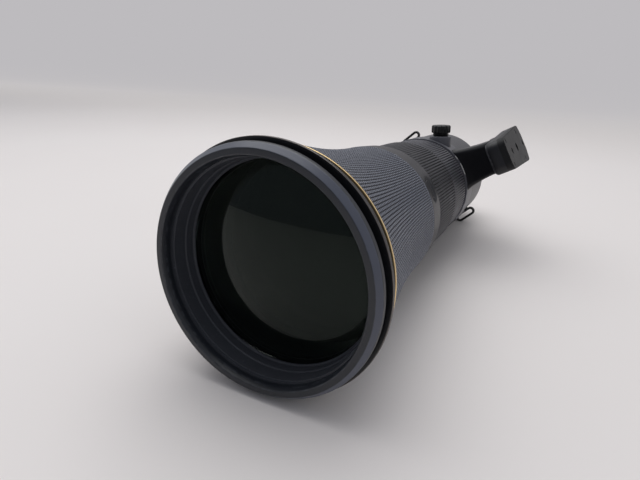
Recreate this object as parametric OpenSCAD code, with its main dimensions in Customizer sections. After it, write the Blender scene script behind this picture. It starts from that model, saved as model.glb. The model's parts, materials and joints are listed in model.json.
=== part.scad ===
// Super telephoto lens with a turning foot collar, in millimetres.
// The optical axis runs along Y, from the front glass at -Y to the camera at +Y.
// The origin is the centre of the rear flange face, and +Z is up as the lens lies.
// Angles round the axis count from +X towards +Z, seen from the front.

/* [Front ring and hood seat] */
// Outer radius of the front ring, which the whole nose follows
front_r = 77.8; // [60:0.1:90]
// Step from there in to the front face
face_step = 2; // [0.5:0.1:4]
// Radial thickness of the front ring
front_ring_t = 8.3; // [6:0.1:10]
// Width of the front ring along the axis
front_w = 7; // [6:0.1:10]
// Length of its outer bevel
front_bevel = 3.9; // [1:0.1:5]
// Step down to the groove that the hood claws enter
seat_step = 2.8; // [1:0.1:4]
// Width of that groove
seat_w = 5; // [4:0.1:8]
// Step up to the hood flange, the widest ring
flange_step = 2.2; // [1:0.1:5]
// Thickness of the hood flange
flange_w = 2.5; // [1.5:0.1:5]
// Number of hood claw entries cut in the flange seat
claw_count = 3; // [2:1:6]
// Width of a claw entry
claw_w = 24; // [10:1:40]
// Depth of a claw entry below the groove
claw_depth = 1.6; // [0.8:0.1:2.5]

/* [Front barrel] */
// Step down to the plain band behind the hood flange
band_step = 1.2; // [0.5:0.1:2]
// Width of that band
band_w = 7.3; // [4:0.1:10]
// Step up from the band to the gold ring
gold_step = 0.6; // [0.2:0.1:2]
// Width of the gold ring
gold_w = 3.4; // [2.5:0.1:9]
// Radial thickness of the gold ring
gold_t = 2.2; // [1.5:0.1:3]
// Step up from the band to the front of the flared rubber grip
grip_step = 0.2; // [0:0.1:1]
// Height of the grip's rear end above the main tube
grip_rear_step = 10.4; // [8:0.1:14]
// Length of the flared grip
grip_len = 140.8; // [120:0.1:160]
// How quickly the flare falls away
flare_power = 1.9; // [1.4:0.1:2.6]
// Thickness of the rubber
rubber_t = 2; // [1:0.1:3]
// Wall of the barrel under the rubber
wall = 3.5; // [2.5:0.1:4.5]
// Thickness of the inner web that holds the main tube
web_t = 4; // [3:0.5:6]

/* [Button ring] */
// Width of the smooth ring that holds the function buttons
button_ring_w = 25.7; // [22:0.1:32]
// Fall of the button ring towards its rear
button_taper = 1.6; // [0:0.1:3]
// Angle of the top of the barrel as the lens lies
top_angle = 30; // [0:1:60]
// Length of a function button round the barrel
button_len = 17; // [12:0.5:20]
// Width of a function button along the barrel
button_w = 8; // [6:0.5:10]
// Extra margin of the oval flat round a button
button_margin = 3.8; // [1.5:0.1:4.5]
// Depth of that flat below the ring
button_flat = 1.9; // [1:0.1:2.5]
// Height that a button stands above its flat
button_rise = 0.9; // [0.5:0.1:1.5]
// Depth of a button in its well
button_sink = 4; // [3:0.1:5]
// Travel of a button
button_travel = 0.8; // [0.4:0.1:1.2]

/* [Focus and control rings] */
// Outer radius of the main tube, which every ring behind the grip follows
tube_r = 50; // [44:0.1:60]
// Width of the focus ring
focus_w = 70.5; // [60:0.5:80]
// Width of the control ring
control_w = 53; // [45:0.5:60]
// Thickness of the focus ring's rubber with its ribs
focus_rubber_t = 3.85; // [2:0.05:6]
// Thickness of the control ring's rubber with its ribs
control_rubber_t = 2.05; // [1.8:0.05:4]
// Radial wall of the metal sleeves under the rubber
sleeve_t = 2; // [1.5:0.1:2.6]
// Bare width of a sleeve at each end
sleeve_lip = 1.6; // [1:0.1:3]
// Number of ribs round a ring
rib_count = 128; // [90:1:180]
// Height of a rib
rib_h = 0.9; // [0.5:0.1:1.2]
// Axial gap at each side of a turning ring
ring_gap = 0.6; // [0.4:0.1:1]

/* [Foot collar] */
// Height of the collar above its seat
collar_t = 4.3; // [3.5:0.1:9]
// Width of the collar
collar_w = 28; // [24:0.5:34]
// Height above the main tube of the seat that the collar turns on
seat_rise = 1; // [0.5:0.1:3]
// Width of the fixed shoulder in front of the collar
shoulder_w = 3; // [2:0.1:5]
// Height above that seat of the fixed shoulder in front of the collar
shoulder_step = 1.6; // [1:0.1:3]
// Angle of the foot
foot_angle = 29.3; // [0:0.1:60]
// Direction in which the lock knob points
knob_angle = 93; // [70:0.5:110]
// Distance of the knob's axis from the lens axis, to the foot's side
knob_offset = 19.1; // [10:0.1:24]
// Height of the boss under the knob above the collar
boss_rise = 2; // [1.5:0.1:4]
// Half width of the arm's root on the collar
arm_root = 25; // [22:0.5:28]
// Half width of the arm at the plate
arm_neck = 18.5; // [12:0.5:20]
// Height of the plate's inner face above the collar
plate_rise = 38.5; // [30:0.1:50]
// Thickness of the plate with its sole
plate_t = 18.2; // [14:0.1:24]
// Thickness of the sole under the plate
sole_t = 6; // [5:0.1:8]
// Half width of the plate at its front
plate_front_half = 15.8; // [14:0.1:20]
// Half width of the plate at its rear
plate_rear_half = 20.7; // [17:0.1:24]
// Length of the plate
plate_len = 130; // [110:1:140]
// How far the plate reaches behind the collar's rear face
plate_back = 41; // [30:1:50]
// Radius of the plate's corners
plate_corner = 8; // [3:0.5:9]
// Radius of the two smaller threaded holes
small_thread_r = 3.175; // [3.175:0.001:3.5]
// Radius of the large threaded hole
large_thread_r = 4.7625; // [4.5:0.0005:5]
// Radius of the lock knob's cap
knob_r = 10.4; // [8:0.1:12]
// Height of the cap
knob_cap_h = 8.2; // [5:0.1:9]
// Radius of the knob's waist
knob_waist_r = 8.3; // [6:0.1:9]
// Height of the waist
knob_waist_h = 3.4; // [2:0.1:7]
// Radius of the knob's stem
knob_stem_r = 3; // [2.5:0.1:4]
// Number of flutes round the cap
flute_count = 18; // [8:1:24]

/* [Tail barrel] */
// Height of the tail barrel above the main tube
tail_step = 4; // [2:0.1:8]
// Length of the tail from the collar to the mount flange
tail_len = 108; // [104:0.5:120]
// Length of its rear cone
cone_len = 34.2; // [20:0.1:40]
// Length of the narrow rear end
neck_len = 5; // [4:0.1:8]
// Step up from the mount flange to the narrow rear end
neck_step = 3.5; // [2:0.1:6]
// Angle of the near strap lug
lug_angle = -47.5; // [-70:0.5:-40]
// Length of the slot in a strap lug
lug_slot_len = 20.5; // [15:0.5:25]
// Height of that slot
lug_slot_h = 4.6; // [4:0.1:6]
// Thickness of the lug's loop wall
lug_wall = 2.3; // [1.8:0.1:3]
// Thickness of the lug along the barrel
lug_t = 3.6; // [2.5:0.1:5]
// Height of the lug's foot under its loop
lug_foot = 1.4; // [1:0.1:3]

/* [Switch panel] */
// Length of the panel along the barrel
panel_len = 48; // [44:0.5:50]
// Width of the panel round the barrel
panel_w = 34; // [28:0.5:38]
// Thickness of the panel
panel_t = 2.2; // [2:0.1:3]
// Length of a switch slot
slot_len = 11; // [9:0.5:12]
// Width of a switch slot
slot_w = 4.6; // [3.6:0.1:5.5]
// Travel of a switch to each side
switch_travel = 2.5; // [1.5:0.1:3]
// Radius of the set button
set_r = 3; // [2:0.1:4]

/* [Filter drawer] */
// Angle of the drop-in filter drawer
filter_angle = 180; // [170:1:200]
// Radius of the filter glass
filter_r = 21; // [18:0.5:22]
// Half width of the drawer's frame
drawer_half = 25; // [24:0.5:27]
// Thickness of the frame along the axis
drawer_t = 7; // [5:0.5:8]
// Height of the drawer's cap above the barrel
drawer_cap = 6; // [4:0.5:9]

/* [Camera mount] */
// Radius of the mount flange
mount_r = 33.5; // [32:0.1:35]
// Thickness of the mount flange
mount_t = 4; // [3:0.1:5]
// Step in from the spigot to the mount's throat
throat_step = 2; // [1.5:0.1:3]
// Radius of the bayonet spigot
spigot_r = 25; // [24.5:0.1:25.5]
// Length of the spigot behind the flange
spigot_len = 5; // [4.5:0.1:6]
// Height of the bayonet claws over the spigot
claw_rise = 2.2; // [1.5:0.1:3]
// Thickness of a bayonet claw
bayonet_t = 1.8; // [1.4:0.1:2.2]
// Angle that a bayonet claw spans
bayonet_span = 44; // [30:1:60]
// Number of electrical contacts
contact_count = 11; // [8:1:12]

/* [Optics] */
// Step in from the front ring's bore to the front glass's edge
glass_step = 1; // [0.9:0.1:3]
// Edge thickness of the front glass
glass_edge = 12; // [10:0.1:13]
// Depth of the front glass edge behind the front face
glass_depth = 27; // [26.6:0.1:30]
// Step in from the main tube's bore to the focusing element
focus_glass_step = 12.5; // [10:0.5:20]
// Radius of the two guide rods
rod_r = 2; // [1.5:0.1:2.2]
// Step in from that bore to the stabiliser element
stab_glass_step = 18.5; // [16:0.5:24]
// Travel of the stabiliser to each side
stab_travel = 1.2; // [0.5:0.1:1.3]
// Step in from the throat to the rear element
rear_glass_step = 3.5; // [2:0.5:6]

/* [Iris] */
// Number of iris blades
blade_count = 9; // [9:1:9]
// Step in from the main tube's bore to the full iris opening
iris_step = 15.5; // [14:0.5:20]
// Thickness of a blade
blade_t = 0.3; // [0.2:0.05:0.35]
// Spacing of the blade layers
layer_step = 0.6; // [0.55:0.05:0.8]
// Step in from the tail's bore to the ring of blade pivots
pivot_step = 4; // [3.5:0.1:6]
// Lever from a blade's pivot to its drive pin
lever = 4.5; // [4:0.1:5]
// Turn of the iris drive ring
iris_turn = 20; // [15:1:22]
// Turn of a blade for each degree of the ring
iris_ratio = 1.5; // [1:0.1:1.6]

/* [Hidden] */

// Smoothness of turned pieces, of large lens surfaces and of small round ones
fine = 120;
lens_fine = 240;
small_fine = 32;
// Clearance between pieces that move past each other, and of a shaft in its bore
gap = 0.35;
running = 0.05;
// Overrun of every cut
over = 1;
// Small bevel on turned edges
bevel = 0.6;

// Stations along the axis, worked forwards from the rear flange face
y_tail_end = -mount_t;
y_tail = y_tail_end - tail_len;
y_cone = y_tail_end - neck_len - cone_len;
y_collar_back = y_tail - ring_gap;
y_collar = y_collar_back - collar_w;
y_shoulder = y_collar - ring_gap - shoulder_w;
y_control_back = y_shoulder - ring_gap;
y_control = y_control_back - control_w;
y_focus_back = y_control - ring_gap;
y_focus = y_focus_back - focus_w;
y_buttons_back = y_focus - ring_gap;
y_buttons = y_buttons_back - button_ring_w;
y_grip = y_buttons - grip_len;
y_gold = y_grip - gold_w;
y_band = y_gold - band_w;
y_flange = y_band - flange_w;
y_seat = y_flange - seat_w;
y_front = y_seat - front_w;

// Radii of the nose, worked in from the front ring
face_r = front_r - face_step;
front_bore_r = front_r - front_ring_t;
seat_r = front_r - seat_step;
flange_r = front_r + flange_step;
band_r = front_r - band_step;
gold_r = band_r + gold_step;
grip_front_r = band_r + grip_step;
glass_r = front_bore_r - glass_step;

// Radii of the rest, worked out from the main tube
grip_rear_r = tube_r + grip_rear_step;
button_ring_rear_r = grip_rear_r - button_taper;
tube_bore_r = tube_r - wall;
collar_seat_r = tube_r + seat_rise;
shoulder_r = collar_seat_r + shoulder_step;
collar_r = collar_seat_r + collar_t;
tail_r = tube_r + tail_step;
plate_in = collar_r + plate_rise;
plate_out = plate_in + plate_t;
focus_glass_r = tube_bore_r - focus_glass_step;
stab_glass_r = tube_bore_r - stab_glass_step;
iris_open_r = tube_bore_r - iris_step;

// Radii of the camera mount
neck_r = mount_r + neck_step;
throat_r = spigot_r - throat_step;
bayonet_r = spigot_r + claw_rise;
rear_glass_r = throat_r - rear_glass_step;

// Front optics
bore_r = front_bore_r + bevel;
y_glass = y_front + glass_depth;
glass_bore_r = glass_r + gap;
y_glass_back = y_glass + glass_edge;
stop_r = glass_r - 3 * bevel - rubber_t;

// Points of the flare, shared by the barrel, its rubber and the glass cells
flare_steps = 12;
function flare_r(i) = grip_rear_r + (grip_front_r - grip_rear_r) * pow(1 - i / flare_steps, flare_power);
function flare_y(i) = y_grip + grip_len * i / flare_steps;
function inner_flare(i) = [flare_r(i) - rubber_t - wall, flare_y(i)];
second_step = 4;
third_step = 7;
second_r = inner_flare(second_step + 1)[0] - wall;
third_r = inner_flare(third_step + 1)[0] - wall;

// Sleeves of the turning rings
sleeve_in = tube_r + gap;
sleeve_out = sleeve_in + sleeve_t;
focus_r = sleeve_out + focus_rubber_t;
control_r = sleeve_out + control_rubber_t;

// Main tube
flange_t = web_t;
y_tube = y_buttons - 2 * web_t - flange_t;
plug_len = 2 * web_t;
y_web_front = y_focus - web_t / 2;
y_web_back = y_control + 4 * web_t;
web_w = 0.75 * web_t;
focus_cell_r = tube_bore_r - wall - bevel;
rod_ring_r = (focus_cell_r + focus_glass_r) / 2;
focus_cell_len = 3.5 * web_t;
y_focus_cell = (y_web_front + y_web_back + web_w - focus_cell_len) / 2;
web_bore_r = focus_glass_r + bevel;

// Stabiliser
y_stab_frame = y_web_back + web_w + gap;
stab_frame_t = web_t;
y_stab_carrier = y_stab_frame + stab_frame_t + gap;
stab_carrier_t = 1.1 * web_t;

// Iris
tail_bore_r = tail_r - wall;
pivot_ring_r = tail_bore_r - pivot_step;
y_iris = y_tail + plug_len + bevel;
iris_base_t = 0.6 * web_t;
y_layers = y_iris + iris_base_t + blade_t;
y_iris_ring = y_layers + blade_count * layer_step;
iris_ring_t = web_t / 2;
pivot_r = 3 * blade_t;
drive_r = 0.9 * pivot_r;
blade_inset = 2;
crescent_in = iris_open_r + blade_inset;
crescent_out = pivot_ring_r - wall;
crescent_span = 62;

// Tail details
panel_angle = top_angle - 90;
y_panel = y_tail + web_t;
lug_margin = 1.6 * lug_t;
y_lug = y_cone - lug_margin;
y_drawer = y_lug - 2 * lug_margin - drawer_t;
y_board = y_drawer - 4 * web_t;
board_t = 1.6;

// Foot
y_plate_back = y_collar_back + plate_back;
y_plate = y_plate_back - plate_len;
hole_shares = [0.2167, 0.5, 0.9];
screw_shares = [0.08, 0.74];
screw_r = 1.5;
screw_head_r = 2.3;
screw_head_h = 1.6;
boss_top = collar_r + boss_rise;
boss_r = knob_r + 2 * bevel;
stem_clear_r = collar_seat_r + 6 * gap;
stem_tip = sqrt(pow(stem_clear_r, 2) - pow(knob_offset - knob_stem_r, 2));
cap_in = boss_top + gap + knob_waist_h;

// Turned solid from points of radius and station
module turned(points) rotate([-90, 0, 0]) rotate_extrude($fn = fine) polygon(points);

// Plain ring from station y0 to y1
module ring(y0, y1, outer, inner)
    turned([[inner, y0], [outer, y0], [outer, y1], [inner, y1]]);

// Ring with bevelled outer edges
module bevelled_ring(y0, y1, outer, inner, b = bevel)
    turned([[inner, y0], [outer - b, y0], [outer, y0 + b], [outer, y1 - b], [outer - b, y1], [inner, y1]]);

// Turns what is built along +X to an angle round the axis
module around(angle) rotate([0, -angle, 0]) children();

// Round bar or cut along the axis, from station y0 to y1
module bar(y0, y1, r, f = small_fine)
    translate([0, y0, 0]) rotate([-90, 0, 0]) cylinder(h = y1 - y0, r = r, $fn = f);

// Round post along +X, from radius r0 to r1
module post(r0, r1, r, f = small_fine)
    translate([r0, 0, 0]) rotate([0, 90, 0]) cylinder(h = r1 - r0, r = r, $fn = f);

// Post with an oval section: its length lies round the barrel
module oval_post(r0, r1, len, w)
    translate([r0, 0, 0]) rotate([0, 90, 0]) linear_extrude(height = r1 - r0) {
        square([len - w, w], center = true);
        for (side = [-1, 1]) translate([side * (len - w) / 2, 0]) circle(d = w, $fn = small_fine);
    }

// Glass between two outward curves, with its edge from station y0 to y1
// The curves' radii are shares of the glass's own radius, and they pass its edges
// where the retainer and the seat touch it
module lens_body(y0, y1, r, front_share, back_share) {
    touch_r = r * stop_r / glass_r;
    front_curve = r * front_share;
    back_curve = r * back_share;
    front_rise = front_curve - sqrt(front_curve * front_curve - touch_r * touch_r);
    back_rise = back_curve - sqrt(back_curve * back_curve - touch_r * touch_r);
    intersection() {
        bar(y0 - front_rise - over, y1 + back_rise + over, r, fine);
        translate([0, y0 - front_rise + front_curve, 0]) sphere(r = front_curve, $fn = lens_fine);
        translate([0, y1 + back_rise - back_curve, 0]) sphere(r = back_curve, $fn = lens_fine);
    }
}

module front_ring() color("slategray")
    turned([
        [front_bore_r + bevel, y_front], [face_r, y_front], [front_r, y_front + front_bevel],
        [front_r, y_seat - bevel], [front_r - bevel, y_seat], [front_bore_r, y_seat],
        [front_bore_r, y_front + bevel]]);

module hood_flange() color("black") difference() {
    turned([
        [bore_r, y_seat], [seat_r, y_seat], [seat_r, y_flange], [flange_r - bevel, y_flange],
        [flange_r, y_flange + bevel], [flange_r, y_band - bevel], [flange_r - bevel, y_band],
        [bore_r, y_band]]);
    for (i = [0 : claw_count - 1]) around(top_angle + i * 360 / claw_count)
        translate([seat_r - claw_depth, y_seat - over, -claw_w / 2])
            cube([flange_r, seat_w + over, claw_w]);
}

module front_barrel() color("dimgray")
    turned(concat(
        [[bore_r, y_band], [band_r, y_band], [band_r, y_gold], [gold_r - gold_t, y_gold],
         [gold_r - gold_t, y_grip]],
        [for (i = [0 : flare_steps]) [flare_r(i) - rubber_t, flare_y(i)]],
        [[tube_r, y_buttons], [tube_r, y_buttons - web_t],
         [flare_r(flare_steps) - rubber_t - wall, y_buttons - web_t]],
        [for (i = [flare_steps - 1 : -1 : 2]) inner_flare(i)],
        [[stop_r, y_glass_back + web_t], [stop_r, y_glass_back], [glass_bore_r, y_glass_back],
         [glass_bore_r, y_glass], [bore_r, y_glass]]));

module gold_ring() color("goldenrod") bevelled_ring(y_gold, y_grip, gold_r, gold_r - gold_t, bevel / 2);

module front_grip() color("dimgray")
    turned(concat(
        [for (i = [0 : flare_steps]) [flare_r(i), flare_y(i)]],
        [for (i = [flare_steps : -1 : 0]) [flare_r(i) - rubber_t, flare_y(i)]]));

// Middle of the button ring, and the height of its button flats
y_fn = (y_buttons + y_buttons_back) / 2;
fn_flat = (grip_rear_r + button_ring_rear_r) / 2 - button_flat;

module button_ring() color("darkgray") difference() {
    turned([
        [tube_r, y_buttons], [grip_rear_r - bevel, y_buttons], [grip_rear_r, y_buttons + bevel],
        [button_ring_rear_r, y_buttons_back - bevel], [button_ring_rear_r - bevel, y_buttons_back],
        [tube_r, y_buttons_back]]);
    for (i = [0 : 3]) around(top_angle + 90 * i) translate([0, y_fn, 0]) {
        oval_post(fn_flat, grip_rear_r + over, button_len + 2 * button_margin, button_w + 2 * button_margin);
        oval_post(fn_flat - button_sink - button_travel - gap, grip_rear_r, button_len, button_w);
    }
}

module fn_button(i) color("black") around(top_angle + 90 * i) translate([0, y_fn, 0])
    oval_post(fn_flat - button_sink, fn_flat + button_rise, button_len - 2 * gap, button_w - 2 * gap);

module main_barrel() color("dimgray") difference() {
    union() {
        turned([
            [tube_bore_r, y_tube], [tube_r, y_tube], [tube_r, y_buttons - web_t - flange_t],
            [tube_r + wall, y_buttons - web_t - flange_t], [tube_r + wall, y_buttons - web_t],
            [tube_r, y_buttons - web_t], [tube_r, y_shoulder], [shoulder_r - bevel, y_shoulder],
            [shoulder_r, y_shoulder + bevel], [shoulder_r, y_shoulder + shoulder_w],
            [collar_seat_r, y_shoulder + shoulder_w], [collar_seat_r, y_tail], [tube_r, y_tail],
            [tube_r, y_tail + plug_len], [tube_bore_r, y_tail + plug_len]]);
        for (y = [y_web_front, y_web_back]) ring(y, y + web_w, tube_bore_r + wall / 2, web_bore_r);
    }
    for (a = [0, 180]) around(a) translate([rod_ring_r, 0, 0]) bar(y_web_front - over, y_web_back + web_w + over, rod_r);
}

// Metal sleeve of a turning ring
module sleeve(y0, w) ring(y0, y0 + w, sleeve_out, sleeve_in);

// Rubber sleeve with lengthwise ribs, drawn as one toothed outline
rib_edge_shares = [0.08, 0.2, 0.8, 0.92];
module ribbed_rubber(y0, w, outer) difference() {
    translate([0, y0 + sleeve_lip, 0]) rotate([-90, 0, 0]) linear_extrude(height = w - 2 * sleeve_lip)
        polygon([for (i = [0 : rib_count - 1], k = [0 : 3])
            let (a = 360 * (i + rib_edge_shares[k]) / rib_count, r = k == 1 || k == 2 ? outer : outer - rib_h)
            r * [cos(a), sin(a)]]);
    bar(y0, y0 + w, sleeve_out, fine);
}

module focus_ring() color("silver") sleeve(y_focus, focus_w);
module focus_rubber() color("dimgray") ribbed_rubber(y_focus, focus_w, focus_r);
module control_ring() color("silver") sleeve(y_control, control_w);
module control_rubber() color("dimgray") ribbed_rubber(y_control, control_w, control_r);

y_knob = (y_collar + y_collar_back) / 2;

// Places what is built along +X at the lock knob, which stands beside the top of the collar
module at_knob() around(knob_angle) translate([0, y_knob, -knob_offset]) children();

module collar_ring() color("darkgray") difference() {
    union() {
        bevelled_ring(y_collar, y_collar_back, collar_r, collar_seat_r + gap, 2 * bevel);
        at_knob() post(collar_seat_r / 2, boss_top, boss_r, fine);
    }
    bar(y_collar - over, y_collar_back + over, collar_seat_r + gap, fine);
    at_knob() post(0, boss_top + over, knob_stem_r + running);
}

module lock_knob() color("black") at_knob() difference() {
    union() {
        post(stem_tip, cap_in, knob_stem_r);
        post(boss_top + gap, cap_in, knob_waist_r);
        rotate([0, 90, 0]) rotate_extrude($fn = fine) polygon([
            [0, cap_in], [knob_r - bevel, cap_in], [knob_r, cap_in + bevel],
            [knob_r, cap_in + knob_cap_h - 2 * bevel], [knob_r - 2 * bevel, cap_in + knob_cap_h],
            [knob_r / 2, cap_in + knob_cap_h], [knob_r / 2 - bevel, cap_in + knob_cap_h - bevel],
            [0, cap_in + knob_cap_h - bevel]]);
    }
    for (i = [0 : flute_count - 1]) rotate([i * 360 / flute_count, 0, 0])
        translate([0, 0, knob_r + bevel / 2]) post(cap_in - over, cap_in + knob_cap_h + over, 2 * bevel, small_fine);
}

// Side view of the arm: height above the axis and station
arm_front_lean = 20;
arm_back_lean = 40;
arm_bow_shares = [[0, 0], [0.25, 0.08], [0.5, 0.27], [0.75, 0.57], [1, 1]];
arm_rise = plate_in - collar_r;

module foot_arm() color("black") around(foot_angle) difference() {
    intersection() {
        translate([0, 0, -arm_root]) linear_extrude(height = 2 * arm_root) polygon(concat(
            [[0, y_collar + bevel]],
            [for (s = arm_bow_shares)
                [collar_r + bevel + (arm_rise - bevel) * s[0], y_collar + bevel - arm_front_lean * s[1]]],
            [for (i = [4 : -1 : 0]) let (s = arm_bow_shares[i])
                [collar_r + bevel + (arm_rise - bevel) * s[0], y_collar_back - bevel + arm_back_lean * s[1]]],
            [[0, y_collar_back - bevel]]));
        translate([0, y_collar_back + arm_back_lean, 0]) rotate([90, 0, 0])
            linear_extrude(height = collar_w + arm_front_lean + arm_back_lean) polygon(concat(
                [[0, -arm_root]],
                [for (s = arm_bow_shares) [collar_r + arm_rise * s[0], -arm_neck - (arm_root - arm_neck) * (1 - s[0]) * (1 - s[0])]],
                [for (i = [4 : -1 : 0]) let (s = arm_bow_shares[i])
                    [collar_r + arm_rise * s[0], arm_neck + (arm_root - arm_neck) * (1 - s[0]) * (1 - s[0])]],
                [[0, arm_root]]));
    }
    bar(y_collar - over, y_plate_back, collar_r, fine);
}

// Half width of the plate at a share of its length
function plate_half(share) = plate_front_half + (plate_rear_half - plate_front_half) * share;

// Plan of the plate, extruded from height x0 to x1
module plate_body(x0, x1, inset) translate([x0, 0, 0]) rotate([0, 90, 0]) linear_extrude(height = x1 - x0)
    hull() for (side = [-1, 1]) {
        translate([side * (plate_front_half - plate_corner), y_plate + plate_corner])
            circle(r = plate_corner - inset, $fn = small_fine);
        translate([side * (plate_rear_half - plate_corner), y_plate_back - 1.5 * plate_corner])
            circle(r = plate_corner - inset, $fn = small_fine);
        translate([side * plate_rear_half / 3, y_plate_back - plate_corner])
            circle(r = plate_corner - inset, $fn = small_fine);
    }

// Places what is built along +X at each of the four foot screws
module at_foot_screws() for (share = screw_shares, side = [-1, 1])
    translate([0, y_plate + plate_len * share, side * (plate_half(share) - 2 * screw_head_r)]) children();

module foot_plate() color("black") around(foot_angle) difference() {
    union() {
        plate_body(plate_in + bevel, plate_out - sole_t, 0);
        plate_body(plate_in, plate_in + bevel, bevel);
    }
    at_foot_screws() post(plate_out - sole_t - 4 * screw_r, plate_out, screw_r);
}

module foot_sole() color("gray") around(foot_angle) difference() {
    union() {
        plate_body(plate_out - sole_t, plate_out - bevel, 0);
        plate_body(plate_out - bevel, plate_out, bevel);
    }
    for (i = [0 : 2]) translate([0, y_plate + plate_len * hole_shares[i], 0])
        post(plate_out - sole_t - over, plate_out + over, i == 1 ? large_thread_r : small_thread_r, fine);
    at_foot_screws() {
        post(plate_out - sole_t - over, plate_out, screw_r);
        post(plate_out - screw_head_h, plate_out + over, screw_head_r);
    }
}

module foot_screws() color("black") around(foot_angle) at_foot_screws() {
    post(plate_out - sole_t - 4 * screw_r, plate_out - screw_head_h, screw_r);
    post(plate_out - screw_head_h, plate_out - bevel / 2, screw_head_r);
}

module tail_barrel() color("darkgray") difference() {
    turned([
        [tube_r, y_tail], [tail_r - 2 * bevel, y_tail], [tail_r, y_tail + 2 * bevel], [tail_r, y_cone],
        [neck_r, y_tail_end - neck_len], [neck_r, y_tail_end - bevel], [neck_r - bevel, y_tail_end],
        [throat_r, y_tail_end], [throat_r, y_tail_end - neck_len],
        [neck_r - wall, y_tail_end - neck_len - wall], [tail_bore_r, y_cone - wall / 2],
        [tail_bore_r, y_tail + web_t], [tube_r, y_tail + web_t]]);
    around(filter_angle) translate([0, y_drawer - gap, -drawer_half - gap])
        cube([tail_r + over, drawer_t + 2 * gap, 2 * (drawer_half + gap)]);
    at_mount_screws() bar(y_tail_end - neck_len / 2, y_tail_end + over, mount_screw_r);
}

// The two strap lugs lie opposite each other
module strap_lugs() color("black") for (a = [lug_angle, lug_angle + 180]) around(a) difference() {
    loop_mid = tail_r + lug_foot + lug_wall + lug_slot_h / 2;
    union() {
        translate([loop_mid, y_lug - lug_t / 2, 0]) rotate([-90, 0, 0]) linear_extrude(height = lug_t) {
            square([lug_slot_h + 2 * lug_wall, lug_slot_len - lug_slot_h], center = true);
            for (side = [-1, 1]) translate([0, side * (lug_slot_len - lug_slot_h) / 2])
                circle(d = lug_slot_h + 2 * lug_wall, $fn = fine);
        }
        translate([tail_r - wall / 2, y_lug - lug_t, -lug_slot_len / 3])
            cube([wall / 2 + lug_foot + lug_wall / 2, 2 * lug_t, 2 * lug_slot_len / 3]);
    }
    translate([loop_mid, y_lug - lug_t - over, 0]) rotate([-90, 0, 0]) linear_extrude(height = 2 * (lug_t + over)) {
        square([lug_slot_h, lug_slot_len - lug_slot_h], center = true);
        for (side = [-1, 1]) translate([0, side * (lug_slot_len - lug_slot_h) / 2])
            circle(d = lug_slot_h, $fn = fine);
    }
    bar(y_lug - 2 * lug_t, y_lug + 2 * lug_t, tail_r, fine);
}

// Rows of the switch panel: three slots and the set button
panel_top = tail_r + panel_t;
side_share = 0.27;
row_shares = [0.22, 0.62, 0.88];
switch_rise = 1.2;

// Places what is built along +X at switch i of the panel
module at_switch(i) around(panel_angle)
    translate([0, y_panel + panel_len * row_shares[i == 0 ? 0 : 1], panel_w * side_share * (i == 0 ? 0 : 2 * i - 3)])
        children();

module at_set_button() around(panel_angle) translate([0, y_panel + panel_len * row_shares[2], 0]) children();

module switch_panel() color("gray") difference() {
    intersection() {
        bevelled_ring(y_panel, y_panel + panel_len, panel_top, tail_r, bevel);
        around(panel_angle) translate([0, y_panel, -panel_w / 2]) cube([tail_r + panel_w, panel_len, panel_w]);
    }
    for (i = [0 : 2]) at_switch(i) translate([0, -slot_len / 2, -slot_w / 2])
        cube([panel_top + over, slot_len, slot_w]);
    at_set_button() post(0, panel_top + over, set_r + gap);
}

// Slider i stands in its slot, just clear of the barrel
module slider(i) color("black") difference() {
    at_switch(i) translate([0, -(slot_len / 2 - switch_travel - gap), -slot_w / 2 + gap])
        cube([panel_top + switch_rise, slot_len - 2 * (switch_travel + gap), slot_w - 2 * gap]);
    bar(y_panel, y_panel + panel_len, tail_r + gap, fine);
}

module set_button() color("black") at_set_button()
    post(tail_r + gap + button_travel, panel_top + switch_rise / 2, set_r);

// Drop-in filter drawer, built along +X across the axis; its cap follows the barrel
module filter_drawer() color("black") around(filter_angle) difference() {
    union() {
        translate([-drawer_half, y_drawer, -drawer_half])
            cube([drawer_half + tail_r, drawer_t, 2 * drawer_half]);
        difference() {
            translate([0, y_drawer + drawer_t / 2, 0])
                oval_post(tail_bore_r / 2, tail_r + drawer_cap, 2 * drawer_half + wall, drawer_t + wall);
            bar(y_drawer - wall, y_drawer + drawer_t + wall, tail_r + gap, fine);
        }
    }
    bar(y_drawer - over, y_drawer + drawer_t + over, filter_r, fine);
}

module filter_glass() color("lightblue")
    bar(y_drawer + drawer_t / 4, y_drawer + 3 * drawer_t / 4, filter_r, fine);

screw_ring_r = (bayonet_r + mount_r) / 2;
mount_screw_count = 4;
mount_screw_r = 1;
mount_head_r = 1.8;
first_screw = 45;
module at_mount_screws() for (i = [0 : mount_screw_count - 1])
    around(first_screw + i * 360 / mount_screw_count) translate([screw_ring_r, 0, 0]) children();

module mount_ring() color("silver") difference() {
    union() {
        bevelled_ring(y_tail_end, 0, mount_r, throat_r, bevel / 2);
        ring(-bevel, spigot_len, spigot_r, throat_r);
        for (i = [0 : 2]) rotate([0, -top_angle - i * 120, 0]) rotate([-90, 0, 0])
            translate([0, 0, spigot_len - bayonet_t])
                rotate_extrude(angle = bayonet_span, start = -bayonet_span / 2, $fn = fine)
                    translate([spigot_r - bevel, 0]) square([bayonet_r - spigot_r + bevel, bayonet_t]);
    }
    at_mount_screws() {
        bar(y_tail_end - over, over, mount_screw_r);
        bar(-screw_head_h, over, mount_head_r);
    }
}

module mount_screws() color("silver") at_mount_screws() {
    bar(y_tail_end - neck_len / 2, -screw_head_h, mount_screw_r);
    bar(-screw_head_h, -bevel / 2, mount_head_r);
}

module mount_gasket() color("black")
    turned([[mount_r, y_tail_end], [neck_r - 2 * bevel, y_tail_end], [mount_r + bevel, bevel], [mount_r, bevel]]);

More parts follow.
